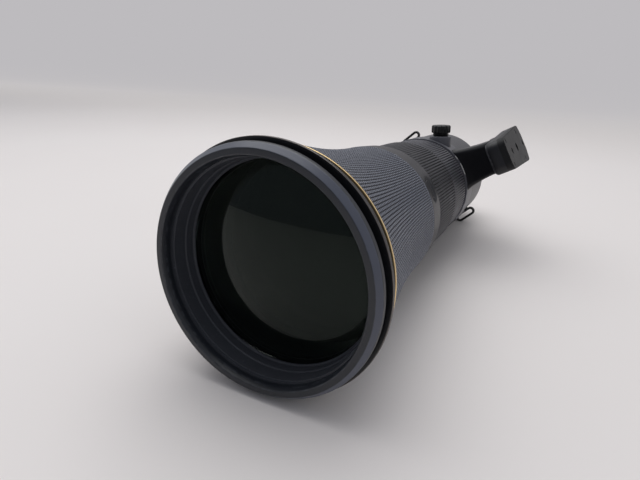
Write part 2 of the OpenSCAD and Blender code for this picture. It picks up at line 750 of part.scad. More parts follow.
// Black rear baffle with the contact block moulded on it
block_in = rear_glass_r - web_t;
contact_span = 76;
contact_margin = 8;
module rear_baffle() color("black") {
    turned([
        [rear_glass_r, y_tail_end - 3 * web_t], [throat_r, y_tail_end - 3 * web_t],
        [throat_r, 0], [block_in + wall, 0], [block_in + wall, -web_t / 2], [rear_glass_r, -web_t]]);
    rotate([0, -top_angle - 180 - contact_span / 2, 0]) rotate([-90, 0, 0]) translate([0, 0, -web_t / 4])
        rotate_extrude(angle = contact_span, $fn = fine)
            translate([block_in + wall / 2, 0]) square([throat_r - block_in - wall, spigot_len - bevel + web_t / 4]);
}

pin_r = 0.7;
module contact_pins() color("gold") for (i = [0 : contact_count - 1])
    around(top_angle + 180 + (i - (contact_count - 1) / 2) * (contact_span - contact_margin) / contact_count)
        translate([block_in + wall, 0, 0]) bar(spigot_len - bevel, spigot_len - bevel / 2, pin_r);

// Black ring that holds the front glass, stepped against stray light
module front_retainer() color("black")
    turned([
        [front_bore_r - bevel, y_seat], [bore_r, y_seat], [bore_r, y_glass], [stop_r, y_glass],
        [stop_r, y_glass - rubber_t], [glass_r - bevel, y_glass - rubber_t],
        [glass_r - bevel, y_seat + 2 * seat_w], [glass_r, y_seat + 2 * seat_w], [glass_r, y_seat + rubber_t],
        [front_bore_r - bevel, y_seat + rubber_t]]);

strong_share = 4.4;
weak_share = 8;
module front_glass() color("lightblue") lens_body(y_glass, y_glass_back, glass_r, strong_share, weak_share);

module glass_cells() color("black") for (k = [[second_step, second_r], [third_step, third_r]])
    turned([
        inner_flare(k[0]), inner_flare(k[0] + 1), [k[1], flare_y(k[0] + 1)], [k[1], flare_y(k[0])]]);

module second_glass() color("lightblue")
    lens_body(flare_y(second_step), flare_y(second_step + 1), second_r, strong_share, weak_share);

module third_glass() color("lightblue")
    lens_body(flare_y(third_step), flare_y(third_step + 1), third_r, weak_share, strong_share);

module focus_cell() color("black") difference() {
    ring(y_focus_cell, y_focus_cell + focus_cell_len, focus_cell_r, focus_glass_r);
    for (a = [0, 180]) around(a) translate([rod_ring_r, 0, 0])
        bar(y_focus_cell - over, y_focus_cell + focus_cell_len + over, rod_r + running);
}

module focus_glass() color("lightblue")
    lens_body(y_focus_cell + web_t / 2, y_focus_cell + focus_cell_len - web_t / 2, focus_glass_r,
        strong_share, weak_share);

module guide_rods() color("silver") for (a = [0, 180]) around(a)
    translate([rod_ring_r, 0, 0]) bar(y_web_front, y_web_back + web_w, rod_r);

module focus_motor() color("dimgray") intersection() {
    ring(y_web_front + web_w, y_web_back, tube_bore_r, focus_cell_r + 2 * gap);
    translate([-3 * web_t / 2, y_web_front, -tube_r]) cube([3 * web_t, y_web_back - y_web_front, 2 * tube_r]);
}

module stab_frame() color("dimgray")
    ring(y_stab_frame, y_stab_frame + stab_frame_t, tube_bore_r - stab_travel - 2 * gap, stab_glass_r + 2 * web_t);

module stab_carrier() color("black")
    ring(y_stab_carrier, y_stab_carrier + stab_carrier_t, stab_glass_r + 3 * web_t, stab_glass_r);

module stab_glass() color("lightblue")
    lens_body(y_stab_carrier, y_stab_carrier + stab_carrier_t, stab_glass_r, strong_share, weak_share);

module rear_glass() color("lightblue")
    lens_body(y_tail_end - 2.5 * web_t, y_tail_end - web_t, rear_glass_r, strong_share, weak_share);

module circuit_board() color("darkgreen") difference() {
    ring(y_board, y_board + board_t, tail_bore_r, drawer_half);
    around(panel_angle) translate([tail_bore_r, y_board + board_t / 2, 0]) cube([4 * board_t, 2 * board_t, panel_w], center = true);
}

module iris_base() color("dimgray") {
    ring(y_iris, y_iris + iris_base_t, tail_bore_r, iris_open_r);
    for (i = [0 : blade_count - 1]) around(360 * i / blade_count) translate([pivot_ring_r, 0, 0])
        bar(y_iris, y_iris_ring - blade_t, pivot_r);
}

// Place of a blade's drive pin in the plane of the iris when the blade has turned by an angle
function pin_place(turn) = [pivot_ring_r + lever * sin(turn), lever * cos(turn)];
function turned_by(p, a) = [p[0] * cos(a) - p[1] * sin(a), p[0] * sin(a) + p[1] * cos(a)];
// The same pin seen from the drive ring, at a share of the ring's turn
function cam_place(share) = turned_by(pin_place(iris_turn * iris_ratio * share), iris_turn * share);

// Plane outline stood up so that its X is radial and its Y runs with the angles
module iris_plane(y0, t) translate([0, y0 + t, 0]) rotate([90, 0, 0]) linear_extrude(height = t) children();

cam_steps = 8;
cam_half = drive_r + gap;
module cam_slot() {
    polygon(concat(
        [for (i = [0 : cam_steps]) cam_place(i / cam_steps) + cam_side(i / cam_steps)],
        [for (i = [cam_steps : -1 : 0]) cam_place(i / cam_steps) - cam_side(i / cam_steps)]));
    for (share = [0, 1]) translate(cam_place(share)) circle(r = cam_half, $fn = small_fine);
}
function cam_side(share) =
    let (d = cam_place(share + 1 / cam_steps) - cam_place(share - 1 / cam_steps))
    cam_half * [-d[1], d[0]] / norm(d);

module iris_ring() color("gray") iris_plane(y_iris_ring, iris_ring_t) difference() {
    circle(r = tail_bore_r - gap, $fn = fine);
    circle(r = iris_open_r + bevel, $fn = fine);
    for (i = [0 : blade_count - 1]) rotate(360 * i / blade_count) cam_slot();
}

module iris_blade(i) color("black") {
    y0 = y_layers + (i - 1) * layer_step;
    around(360 * (i - 1) / blade_count) {
        iris_plane(y0, blade_t) difference() {
            union() {
                blade_outline();
                circle_at([pivot_ring_r, 0], 3 * pivot_r);
                circle_at(pin_place(0), 2 * drive_r);
                polygon([[pivot_ring_r - 2 * drive_r, 0], [pivot_ring_r + 2 * drive_r, 0],
                    pin_place(0) + [2 * drive_r, 0], pin_place(0) - [2 * drive_r, 0]]);
            }
            circle_at([pivot_ring_r, 0], pivot_r + running);
        }
        iris_plane(y0 + blade_t / 2, y_iris_ring + iris_ring_t - y0 - blade_t / 2) circle_at(pin_place(0), drive_r);
    }
}

module circle_at(p, r) translate(p) circle(r = r, $fn = small_fine);

// Crescent that lies round the opening, from the pivot to its tip
blade_points = 12;
function on_circle(r, a) = r * [cos(a), sin(a)];
module blade_outline() polygon(concat(
    [for (k = [0 : blade_points]) on_circle(crescent_in, -crescent_span * k / blade_points)],
    [for (k = [blade_points : -1 : 1])
        on_circle(crescent_out - (crescent_out - crescent_in) / 2 * pow(k / blade_points, 2),
            -crescent_span * k / blade_points)],
    [[pivot_ring_r - pivot_r, -2 * pivot_r], [pivot_ring_r, 0], [crescent_in, 2 * pivot_r]]));

front_ring();
hood_flange();
front_barrel();
gold_ring();
front_grip();
button_ring();
fn_button(0);  // fn_button_1
fn_button(1);  // fn_button_2
fn_button(2);  // fn_button_3
fn_button(3);  // fn_button_4
main_barrel();
focus_ring();
focus_rubber();
control_ring();
control_rubber();
collar_ring();
foot_arm();
foot_plate();
foot_sole();
foot_screws();
lock_knob();
tail_barrel();
strap_lugs();
switch_panel();
slider(0);  // focus_switch
slider(1);  // limit_switch
slider(2);  // steady_switch
set_button();
filter_drawer();
filter_glass();
mount_ring();
mount_screws();
mount_gasket();
rear_baffle();
contact_pins();
front_retainer();
front_glass();
glass_cells();
second_glass();
third_glass();
focus_cell();
focus_glass();
guide_rods();
focus_motor();
stab_frame();
stab_carrier();
stab_glass();
rear_glass();
circuit_board();
iris_base();
iris_ring();
iris_blade(1);  // iris_blade_1
iris_blade(2);  // iris_blade_2
iris_blade(3);  // iris_blade_3
iris_blade(4);  // iris_blade_4
iris_blade(5);  // iris_blade_5
iris_blade(6);  // iris_blade_6
iris_blade(7);  // iris_blade_7
iris_blade(8);  // iris_blade_8
iris_blade(9);  // iris_blade_9
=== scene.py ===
import json
import math
import bmesh
import bpy
import numpy as np
from mathutils import Matrix, Vector


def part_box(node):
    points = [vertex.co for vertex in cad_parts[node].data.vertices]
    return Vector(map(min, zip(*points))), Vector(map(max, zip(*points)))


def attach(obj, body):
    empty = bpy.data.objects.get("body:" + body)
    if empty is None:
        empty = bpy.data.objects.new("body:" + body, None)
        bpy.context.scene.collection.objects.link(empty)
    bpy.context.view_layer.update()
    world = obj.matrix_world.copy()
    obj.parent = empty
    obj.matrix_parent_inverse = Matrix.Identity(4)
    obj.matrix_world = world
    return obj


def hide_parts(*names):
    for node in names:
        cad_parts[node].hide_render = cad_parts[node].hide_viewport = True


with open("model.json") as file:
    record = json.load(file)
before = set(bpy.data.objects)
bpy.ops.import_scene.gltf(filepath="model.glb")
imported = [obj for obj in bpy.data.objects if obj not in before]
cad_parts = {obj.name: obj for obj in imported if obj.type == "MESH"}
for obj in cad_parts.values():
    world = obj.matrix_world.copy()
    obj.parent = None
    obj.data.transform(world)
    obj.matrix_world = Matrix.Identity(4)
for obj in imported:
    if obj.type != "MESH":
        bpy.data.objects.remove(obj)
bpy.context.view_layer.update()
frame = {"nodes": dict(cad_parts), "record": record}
scene = bpy.context.scene

# The camera stands in front of the lens, a little above it and to its right, and looks back
# along the barrel, so that the front glass is large and the foot shows at the upper right.
camera = bpy.data.objects.new("camera", bpy.data.cameras.new("camera"))
scene.collection.objects.link(camera)
camera.data.lens = 27
camera.data.sensor_width = 36
camera.matrix_world = Matrix((
    (0.8845, -0.1786, 0.4311, 0.1480),
    (0.4648, 0.2559, -0.8476, -0.6701),
    (0.0410, 0.9501, 0.3093, 0.1080),
    (0, 0, 0, 1)))
scene.camera = camera
scene.view_settings.view_transform = "Standard"


def tone(red, green, blue):
    """A colour read from a screen, 0 to 255, as the linear colour that a shader takes."""
    share = np.array([red, green, blue]) / 255
    return (*np.where(share > 0.04045, ((share + 0.055) / 1.055) ** 2.4, share / 12.92).tolist(), 1)


# The light is a plain photo studio: a pale room all round and one large soft lamp above and
# behind the lens on its left, as the bright upper edges of the barrel show.
def soft_lamp(name, power, size, place, target):
    """A square lamp of a size in metres at a place, turned to its target."""
    lamp = bpy.data.objects.new(name, bpy.data.lights.new(name, "AREA"))
    lamp.data.energy = power
    lamp.data.size = size
    lamp.location = place
    lamp.rotation_euler = (Vector(target) - Vector(place)).to_track_quat("-Z", "Y").to_euler()
    scene.collection.objects.link(lamp)


soft_lamp("top_lamp", 15, 1.7, (-0.35, -0.05, 1.6), (0, -0.25, 0))


def join_numbers(operation, swapped=False):
    """The method of Amount that joins it to another number with one Math node."""
    def joined(self, other):
        pair = (other, self) if swapped else (self, other)
        return self.finish.node("ShaderNodeMath", {"operation": operation}, dict(enumerate(pair)))
    return joined


class Amount:
    """A socket of a material that varies over the surface, for use in plain arithmetic."""
    __add__ = __radd__ = join_numbers("ADD")
    __mul__ = __rmul__ = join_numbers("MULTIPLY")
    __sub__ = join_numbers("SUBTRACT")
    __rsub__ = join_numbers("SUBTRACT", swapped=True)
    __pow__ = join_numbers("POWER")

    def __init__(self, finish, socket):
        self.finish = finish
        self.socket = socket


class Finish:
    """A material, or the world, whose patterns lie in metres."""

    def __init__(self, name, owners=bpy.data.materials, shader="Principled BSDF",
                 spread="Object", **steady):
        """Spread is the coordinate that the patterns lie on, and the steady sockets are the
        same all over."""
        self.material = owners.new(name)
        self.material.use_nodes = True
        self.shader = self.material.node_tree.nodes[shader]
        self.place = self.node("ShaderNodeTexCoord", out=spread)
        self.height = None
        for socket, value in steady.items():
            self.give(self.shader.inputs[socket.replace("_", " ")], value)

    def give(self, socket, value):
        """Links an amount to the socket, or writes a plain value into it."""
        if isinstance(value, Amount):
            self.material.node_tree.links.new(value.socket, socket)
        else:
            socket.default_value = value

    def node(self, kind, settings=(), sockets=(), out=0):
        """Any node: its settings first, then its sockets. Gives what comes out of it."""
        made = self.material.node_tree.nodes.new(kind)
        for name, value in dict(settings).items():
            setattr(made, name, value)
        for name, value in dict(sockets).items():
            self.give(made.inputs[name], value)
        return Amount(self, made.outputs[out])

    def noise(self, scale, detail=2, place=None, roughness=0.5):
        """Noise from 0 to 1, with about scale blobs to the metre."""
        return self.node("ShaderNodeTexNoise", sockets={
            "Vector": place or self.place, "Scale": scale, "Detail": detail,
            "Roughness": roughness})

    def rise(self, amount, low, high):
        """A smooth step from 0 where the amount is low to 1 where it is high."""
        return self.node("ShaderNodeMapRange", {"interpolation_type": "SMOOTHSTEP"}, {
            "Value": amount, "From Min": low, "From Max": high})

    def mark(self, name):
        """A value that the mesh holds at each of its points."""
        return self.node("ShaderNodeAttribute", {"attribute_name": name}, out="Fac")

    def blend(self, share, first, second):
        """The first colour at share 0 and the second at 1. The Mix node has them on its sockets
        6 and 7, and its colour comes out of socket 2."""
        return self.node("ShaderNodeMix", {"data_type": "RGBA"}, {
            "Factor": share, 6: first, 7: second}, out=2)

    def spun(self):
        """Radius and station of the point, as turning marks run round the axis."""
        parts = self.node("ShaderNodeSeparateXYZ", sockets={0: self.place})
        x, y, z = (Amount(self, parts.socket.node.outputs[k]) for k in range(3))
        return (x * x + z * z) ** 0.5, y

    def within(self):
        """1 on the inner walls and 0 outside. What parts them is a radius of 24 mm in the rear
        cone, 51 mm along the barrel and 73 mm at the nose."""
        cone, barrel, nose = 0.024, 0.051, 0.073
        radius, station = self.spun()
        limit = (1 - self.rise(station, -0.445, -0.435)) * (nose - barrel) + (
            1 - self.rise(station, -0.0445, -0.0435)) * (barrel - cone) + cone
        return self.rise(limit - radius, 0.0, 0.0004)

    def turning_lines(self, scale):
        """Noise drawn out into lines round the axis, as the lathe leaves them."""
        radius, station = self.spun()
        line = self.node("ShaderNodeCombineXYZ", sockets={0: radius + station, 1: station})
        return self.noise(scale, 3, line, 0.7)

    def relief(self, height, depth):
        """Relief of a depth in metres; several add up."""
        step = height * depth
        self.height = step if self.height is None else self.height + step

    def set(self, **sockets):
        """Gives the sockets and then the relief, and returns the material."""
        for socket, value in sockets.items():
            self.give(self.shader.inputs[socket.replace("_", " ")], value)
        if self.height is not None:
            bump = self.node("ShaderNodeBump", sockets={
                "Height": self.height, "Strength": 1.0, "Distance": 1.0})
            self.give(self.shader.inputs["Normal"], bump)
        return self.material


# The room is pale, and darker on the side where the camera stands. What is seen past the sheet
# has the tone of the sheet's far end.
room = Finish("room", bpy.data.worlds, "Background", "Generated")
toward = room.node("ShaderNodeSeparateXYZ", sockets={0: room.place}, out="Y")
light = room.blend(room.rise(toward, -0.75, 0.15), tone(132, 136, 146), tone(242, 244, 248))
seen_directly = room.node("ShaderNodeLightPath", out="Is Camera Ray")
scene.world = room.set(Color=room.blend(seen_directly, light, tone(198, 196, 199)), Strength=0.9)


def painted(name, colour, grain=0.00005, gloss=0.45, bare=(150, 152, 158), wear=0.5, cloud=0.10,
            shine=0.4, shell=False):
    """Sprayed paint: a fine grain, cloudy gloss, a little dust, and bare metal on worn edges. A
    shell is black inside, against stray light."""
    paint = Finish(name, Specular_IOR_Level=shine)
    fine = paint.noise(2600, 2)
    cloudy = paint.noise(16, 4)
    speck = paint.rise(paint.noise(700, 1), 0.66, 0.74)
    worn = paint.rise(paint.mark("edge") * (paint.noise(240, 4) * 1.1 + wear - 0.5), 0.35, 0.62)
    base = np.array(tone(*colour))
    deep, pale = (tuple(np.clip(base * (1 + k * cloud), 0, 1)[:3]) + (1,) for k in (-1, 1))
    shade = paint.blend(cloudy, deep, pale)
    shade = paint.blend(speck * 0.25, shade, tone(*(min(255, c + 40) for c in colour)))
    if shell:
        shade = paint.blend(paint.within(), shade, tone(7, 7, 8))
    paint.relief(fine, grain)
    return paint.set(
        Base_Color=paint.blend(worn, shade, tone(*bare)), Metallic=worn * 0.7,
        Roughness=cloudy * 0.14 + fine * 0.08 + (gloss - 0.1) - worn * 0.12)


def turned_metal(name, colour, gloss=0.25, lines=0.00002, scale=5200, dull=(60, 60, 62)):
    """Metal from the lathe: fine lines round the axis, small scratches and a dull film."""
    metal = Finish(name, Metallic=1.0)
    line = metal.turning_lines(scale)
    film = metal.noise(45, 5)
    scratch = metal.rise(metal.noise(160, 6, roughness=0.8), 0.60, 0.70)
    metal.relief(line, lines)
    shade = metal.blend(metal.rise(film, 0.45, 0.75) * 0.35, tone(*colour), tone(*dull))
    return metal.set(
        Base_Color=shade, Roughness=line * 0.16 + film * 0.12 + scratch * 0.15 + (gloss - 0.12))


def rubbery(name, colour, groove_shade, dusty, gloss=0.62, relief=0.00003):
    """Moulded rubber: matt, with painted shade in its grooves, and pale dust rubbed into its edges.
    """
    rubber = Finish(name, Specular_IOR_Level=0.35)
    patch = rubber.noise(22, 4)
    fine = rubber.noise(1900, 3)
    handled = rubber.rise(rubber.noise(60, 5), 0.52, 0.70)
    rubber.relief(fine, relief)
    top = rubber.blend(patch, tone(*colour), tone(*dusty))
    rubbed = rubber.mark("edge") * (handled * 0.5 + 0.25)
    top = rubber.blend(rubbed, top, tone(*(c + 26 for c in dusty)))
    # The valley marks blend in the groove colour, which is painted shade.
    return rubber.set(
        Base_Color=rubber.blend(rubber.mark("valley_and_shade"), top, tone(*groove_shade)),
        Roughness=patch * 0.12 + fine * 0.1 + (gloss - 0.1) - handled * 0.06)


def moulded(name, colour, gloss=0.5, grain=0.00006, scale=1500):
    """Black moulded plastic or blackened metal with a fine spark-eroded grain."""
    plastic = Finish(name, Specular_IOR_Level=0.4)
    fine = plastic.noise(scale, 3)
    patch = plastic.noise(35, 4)
    rubbed = plastic.rise(plastic.mark("edge") * (plastic.noise(300, 3) + 0.25), 0.45, 0.8)
    plastic.relief(fine, grain)
    shade = plastic.blend(patch, tone(*colour), tone(*(c + 9 for c in colour)))
    return plastic.set(
        Base_Color=plastic.blend(rubbed, shade, tone(*(c + 62 for c in colour))),
        Roughness=patch * 0.16 + fine * 0.1 + (gloss - 0.12) - rubbed * 0.1)


# The stage is a pale sheet that the lens lies on and that curves up into a wall behind it.
# The floor touches the hood flange and the lowest point of the tail, so it slopes a little.
touch_y, touch_z = -0.448, -0.080
reach_y, behind_y, low_z = -0.29, -0.3, -0.02
rear_points = np.concatenate([
    np.array([v.co for v in part.data.vertices]) for name, part in frame["nodes"].items()
    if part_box(name)[1][1] > reach_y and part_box(name)[0][2] < low_z])
rear_points = rear_points[rear_points[:, 1] > behind_y]
slope = ((rear_points[:, 2] - touch_z) / (rear_points[:, 1] - touch_y)).min()
floor_end, bend, wall_top = 1.5, 0.9, 2.6
sweep = np.linspace(0, 1, 24)[:, None] * math.pi / 2
floor_line = np.concatenate([
    np.array([[-2.2, 0], [-0.5, 0], [0.5, 0], [floor_end, 0]]),
    np.hstack([floor_end + bend * np.sin(sweep), bend - bend * np.cos(sweep)]),
    np.array([[floor_end + bend, wall_top]])])
across = np.array([-6, -1, 1, 6])
wide = len(across)
sheet_points = [
    (x, y, touch_z + (y - touch_y) * slope + z) for y, z in floor_line for x in across]
sheet_faces = [
    (i * wide + j, i * wide + j + 1, (i + 1) * wide + j + 1, (i + 1) * wide + j)
    for i in range(len(floor_line) - 1) for j in range(wide - 1)]
stage_mesh = bpy.data.meshes.new("stage")
stage_mesh.from_pydata(sheet_points, [], sheet_faces)
stage_mesh.polygons.foreach_set("use_smooth", [True] * len(sheet_faces))
stage = bpy.data.objects.new("stage", stage_mesh)
scene.collection.objects.link(stage)
sheet = Finish("stage_sheet", Roughness=0.75, Specular_IOR_Level=0.15)
paper = sheet.set(Base_Color=sheet.blend(
    sheet.noise(2.5, 2), tone(233, 227, 224), tone(237, 232, 229)))
far = sheet.node("ShaderNodeSeparateXYZ", sockets={0: sheet.place}, out="Y")
camera_ray, glossy_ray, glass_ray = (
    sheet.node("ShaderNodeLightPath", out="Is %s Ray" % kind)
    for kind in ("Camera", "Glossy", "Transmission"))
seen = camera_ray + glossy_ray + glass_ray
glow = sheet.node("ShaderNodeBsdfPrincipled", sockets={
    "Base Color": (0, 0, 0, 1), "Specular IOR Level": 0.0, "Emission Strength": 1.0,
    "Emission Color": sheet.blend(
        sheet.rise(far, 0.4, 2.0), tone(206, 202, 201), tone(189, 187, 190))})
surface = sheet.node("ShaderNodeMixShader", sockets={
    0: sheet.rise(far, 0.25, 1.3) * seen, 1: Amount(sheet, sheet.shader.outputs[0]), 2: glow})
sheet.give(paper.node_tree.nodes["Material Output"].inputs["Surface"], surface)
stage_mesh.materials.append(paper)

# Front ring: an anodised aluminium ring, turned, with a broad outer bevel and a rolled inner
# edge. It screws on the front of the barrel and takes the first knocks.
turn = 2 * math.pi
mm = 0.001


def rounded(corners):
    """A closed profile with rounded corners. Each corner is radius, station and rounding in mm.
    It becomes a quadratic curve between the points that lie the rounding before and after it,
    with one more point on the straight at each end. Returns the points and their edge marks."""
    corner = np.array(corners, float)
    here, size = corner[:, :2], np.maximum(corner[:, 2:3], 0.04)
    back, ahead = np.roll(here, 1, 0) - here, np.roll(here, -1, 0) - here
    back_len, ahead_len = (np.linalg.norm(v, axis=1, keepdims=True) for v in (back, ahead))
    reach = np.minimum(size, 0.42 * np.minimum(back_len, ahead_len))
    back, ahead = back / back_len, ahead / ahead_len
    t = np.array([0, 0.2, 0.5, 0.8, 1])[:, None, None]
    start, end = here + back * reach, here + ahead * reach
    curve = (1 - t) ** 2 * start + 2 * t * (1 - t) * here + t ** 2 * end
    lead = np.minimum(reach + 0.5, 0.48 * np.minimum(back_len, ahead_len))
    points = np.concatenate([[here + back * lead], curve, [here + ahead * lead]])
    marks = np.array([0, 0.4, 1, 1, 1, 0.4, 0])[:, None] * (corner[:, 2] > 0.15)
    return points.transpose(1, 0, 2).reshape(-1, 2), marks.T.reshape(-1)


def skin(name, material, points, marks=None, loops=(True, True), flat=False, poles=False):
    """A mesh over points[i, j] in mm: a quad between each point and its next in i and in j.
    Loops join the last to the first. It is turned inside out if its volume is negative."""
    rows, columns = points.shape[:2]
    i, j = (np.arange(n if loop else n - 1) for n, loop in zip((rows, columns), loops))
    i, j = np.meshgrid(i, j, indexing="ij")
    k, m = (i + 1) % rows, (j + 1) % columns
    quads = np.stack([
        i * columns + j, k * columns + j, k * columns + m, i * columns + m], -1).reshape(-1, 4)
    places = points.reshape(-1, 3) * mm
    a, b, c, d = (places[quads[:, n]] for n in range(4))
    if (a * np.cross(b, c) + a * np.cross(c, d)).sum() < 0:
        quads = quads[:, ::-1]
    mesh = bpy.data.meshes.new(name)
    mesh.from_pydata(places.tolist(), [], quads.tolist())
    for mark, values in (marks or {}).items():
        mesh.attributes.new(mark, "FLOAT", "POINT").data.foreach_set(
            "value", np.broadcast_to(values, (rows, columns)).astype(np.float32).ravel())
    if poles:
        shell = bmesh.new()
        shell.from_mesh(mesh)
        bmesh.ops.remove_doubles(shell, verts=shell.verts, dist=1e-6)
        shell.to_mesh(mesh)
        shell.free()
    mesh.polygons.foreach_set("use_smooth", [not flat] * len(mesh.polygons))
    mesh.materials.append(material)
    piece = bpy.data.objects.new(name, mesh)
    scene.collection.objects.link(piece)
    return piece


def around(angle, radius, station):
    """Points (r cos a, y, r sin a), for radii r[i, j] at the angles a[i] and stations y[j]."""
    return np.stack([
        radius * np.cos(angle)[:, None], np.broadcast_to(station, radius.shape),
        radius * np.sin(angle)[:, None]], -1)


def turned(name, material, corners, sides=320, notch=None):
    """A lathe surface: the rounded profile of radius and station is carried round the axis. A
    notch takes the angles and gives how much of each corner's fourth value is cut from r."""
    profile, edge = rounded([c[:3] for c in corners])
    angle = np.arange(sides) / sides * turn
    radius = np.repeat(profile[None, :, 0], sides, 0)
    if notch:
        depth = np.repeat([c[3] for c in corners], len(profile) // len(corners))
        radius = radius - notch(angle)[:, None] * depth
    return skin(name, material, around(angle, radius, profile[:, 1]), {"edge": edge})


def fit(piece, body, slot, *nodes):
    """The piece moves with its body and stands for its solids; the slot is not used."""
    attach(piece, body)
    for solid in nodes:
        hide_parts(solid)
    return piece


front_y = -461.2
seat_y = front_y + 7
bevel_in, bevel_back = 74.6, front_y + 3.9
anodised = Finish("anodised_grey", Specular_IOR_Level=0.5)
cloudy, brushed = anodised.noise(14, 4), anodised.turning_lines(4200)
face_r, face_y = anodised.spun()
# The bevel is painted lighter and bluer than the face: a painted highlight for the light that falls
# on it from above.
bevel_highlight = anodised.rise(face_r, (bevel_in - 0.1) * mm, (bevel_in + 0.3) * mm) * (
    1 - anodised.rise(face_y, (bevel_back - 0.4) * mm, bevel_back * mm))
scuffed = anodised.rise(anodised.mark("edge") * (anodised.noise(230, 5) + 0.2), 0.62, 0.85)
shade = anodised.blend(cloudy, tone(27, 30, 36), tone(36, 39, 46))
shade = anodised.blend(bevel_highlight * (cloudy * 0.5 + 0.6), shade, tone(74, 78, 92))
anodised.relief(brushed, 0.000012)
ring_paint = anodised.set(
    Base_Color=anodised.blend(scuffed * 0.12, shade, tone(126, 130, 138)),
    Roughness=cloudy * 0.12 + brushed * 0.08 + 0.26 - bevel_highlight * 0.04)
fit(turned("front_ring", ring_paint, [
    (69.5, front_y + 3.2, 1.2), (70.7, front_y, 0.7), (bevel_in, front_y, 0.4),
    (77.7, bevel_back, 0.6), (77.8, seat_y, 0.4), (69.5, seat_y, 0.3)]),
    "lens_barrel", "anodised_ring", "front_ring")

# Hood flange: a black ring of the same metal, with the groove that the hood's claws slide in
# and the three entries that let them through.
flange_y = seat_y + 5
band_y = flange_y + 2.5
flange_bore, groove_r, lip_r, entry_deep = 70.1, 75.0, 80.0, 1.6
entry_half, entry_soft = 12 / groove_r, 0.012
entry_at = np.radians(30 + 120 * np.arange(3))


def smooth(t):
    """A smooth step from 0 to 1: t squared times 3 less 2 t."""
    t = np.clip(t, 0, 1)
    return t * t * (3 - 2 * t)


def claw_entries(angle):
    """1 inside the three entries and 0 outside, with a smooth step of nearly a millimetre."""
    off = np.abs((angle[:, None] - entry_at + math.pi) % turn - math.pi).min(1)
    return smooth((entry_half - off) / entry_soft + 0.5)


flange_black = painted(
    "flange_black", (18, 19, 22), grain=0.00002, gloss=0.34, bare=(112, 106, 102), wear=0.75)
fit(turned("hood_flange", flange_black, [
    (flange_bore, seat_y, 0.1, 0), (groove_r, seat_y, 0.1, entry_deep),
    (groove_r, flange_y, 0.1, entry_deep), (lip_r, flange_y, 0.4, 0), (lip_r, band_y, 0.8, 0),
    (flange_bore, band_y, 0.1, 0)], 720, claw_entries),
    "lens_barrel", "black_metal", "hood_flange")

# Gold ring: a thin polished ring, anodised gold, that sits proud between the plain band of
# the barrel and the rubber.
grip_y = -436.0


def sleeve(name, material, bore, r, y0, y1, rounding):
    """A plain turned ring from y0 to y1, rounded at its outer edges."""
    return turned(name, material, [
        (bore, y0, 0.1), (r, y0, rounding), (r, y1, rounding), (bore, y1, 0.1)])


gold = turned_metal(
    "gold_anodised", (240, 212, 160), gloss=0.34, scale=6000, dull=(206, 172, 118))
fit(sleeve("gold_ring", gold, 75.2, 77.2, grip_y - 1.5, grip_y - 0.2, 0.4),
    "lens_barrel", "gold", "gold_ring")

# Front grip: one moulded rubber sleeve, stretched and glued over the flare. Its face is a grid
# of small blocks, 198 round the barrel and 35 along it, parted by narrow grooves.
buttons_y = -295.2
barrel_r, flare_rise = 60.4, 16.4
blocks_round, blocks_along = 198, 35
groove_depth, grip_margin, end_round, rubber_wall = 0.8, 1.3, 0.3, 2.0


def flare(station):
    """Radius of the grip: it falls from 76.8 to 60.4 as the power 1.9 of what is left."""
    left = np.clip((buttons_y - station) / (buttons_y - grip_y), 0, 1)
    return barrel_r + flare_rise * left ** 1.9


def block_lines(count, spots, depth):
    """Shares of the way along, at the spots within each block's width, and the depth there."""
    return (np.arange(count)[:, None] + spots).ravel() / count, np.tile(depth, count)


round_share, round_groove = block_lines(blocks_round, [0, 0.22, 0.78], [1.0, 0.0, 0.0])
along_share, along_groove = block_lines(
    blocks_along, [0, 0.17, 0.26, 0.91], [1.0, 1.0, 0.0, 0.0])
along_share, along_groove = np.append(along_share, 1), np.append(along_groove, 1)
knurl_len = buttons_y - grip_y - 2 * grip_margin
rim = np.array([0, end_round, grip_margin - 0.1])
station = np.concatenate([
    grip_y + rim, grip_y + grip_margin + along_share * knurl_len, (buttons_y - rim)[::-1]])
under = np.zeros(len(station))
under[[0, -1]] = end_round
knurled = np.pad(np.ones(len(along_share)), len(rim))
angle = round_share * turn
# The valleys set the groove depth and also paint shade into the grooves.
valley_and_shade = np.maximum(np.pad(along_groove, len(rim)), round_groove[:, None] * knurled)
inner_y = np.linspace(buttons_y, grip_y, 5)
outer_r = flare(station) - under - groove_depth * valley_and_shade
inner_r = np.broadcast_to(flare(inner_y) - rubber_wall, (len(angle), len(inner_y)))
grip_grid = around(angle, np.hstack([outer_r, inner_r]), np.concatenate([station, inner_y]))
valley_and_shade = np.pad(valley_and_shade, ((0, 0), (0, len(inner_y))))
# Its second colour is the painted shade in the grooves.
grip_rubber = rubbery("grip_rubber", (104, 107, 117), (12, 12, 14), (116, 119, 128), gloss=0.46)
fit(skin("front_grip", grip_rubber, grip_grid, {"valley_and_shade": valley_and_shade, "edge": 0}, flat=True),
    "lens_barrel", "grip_rubber", "front_grip")

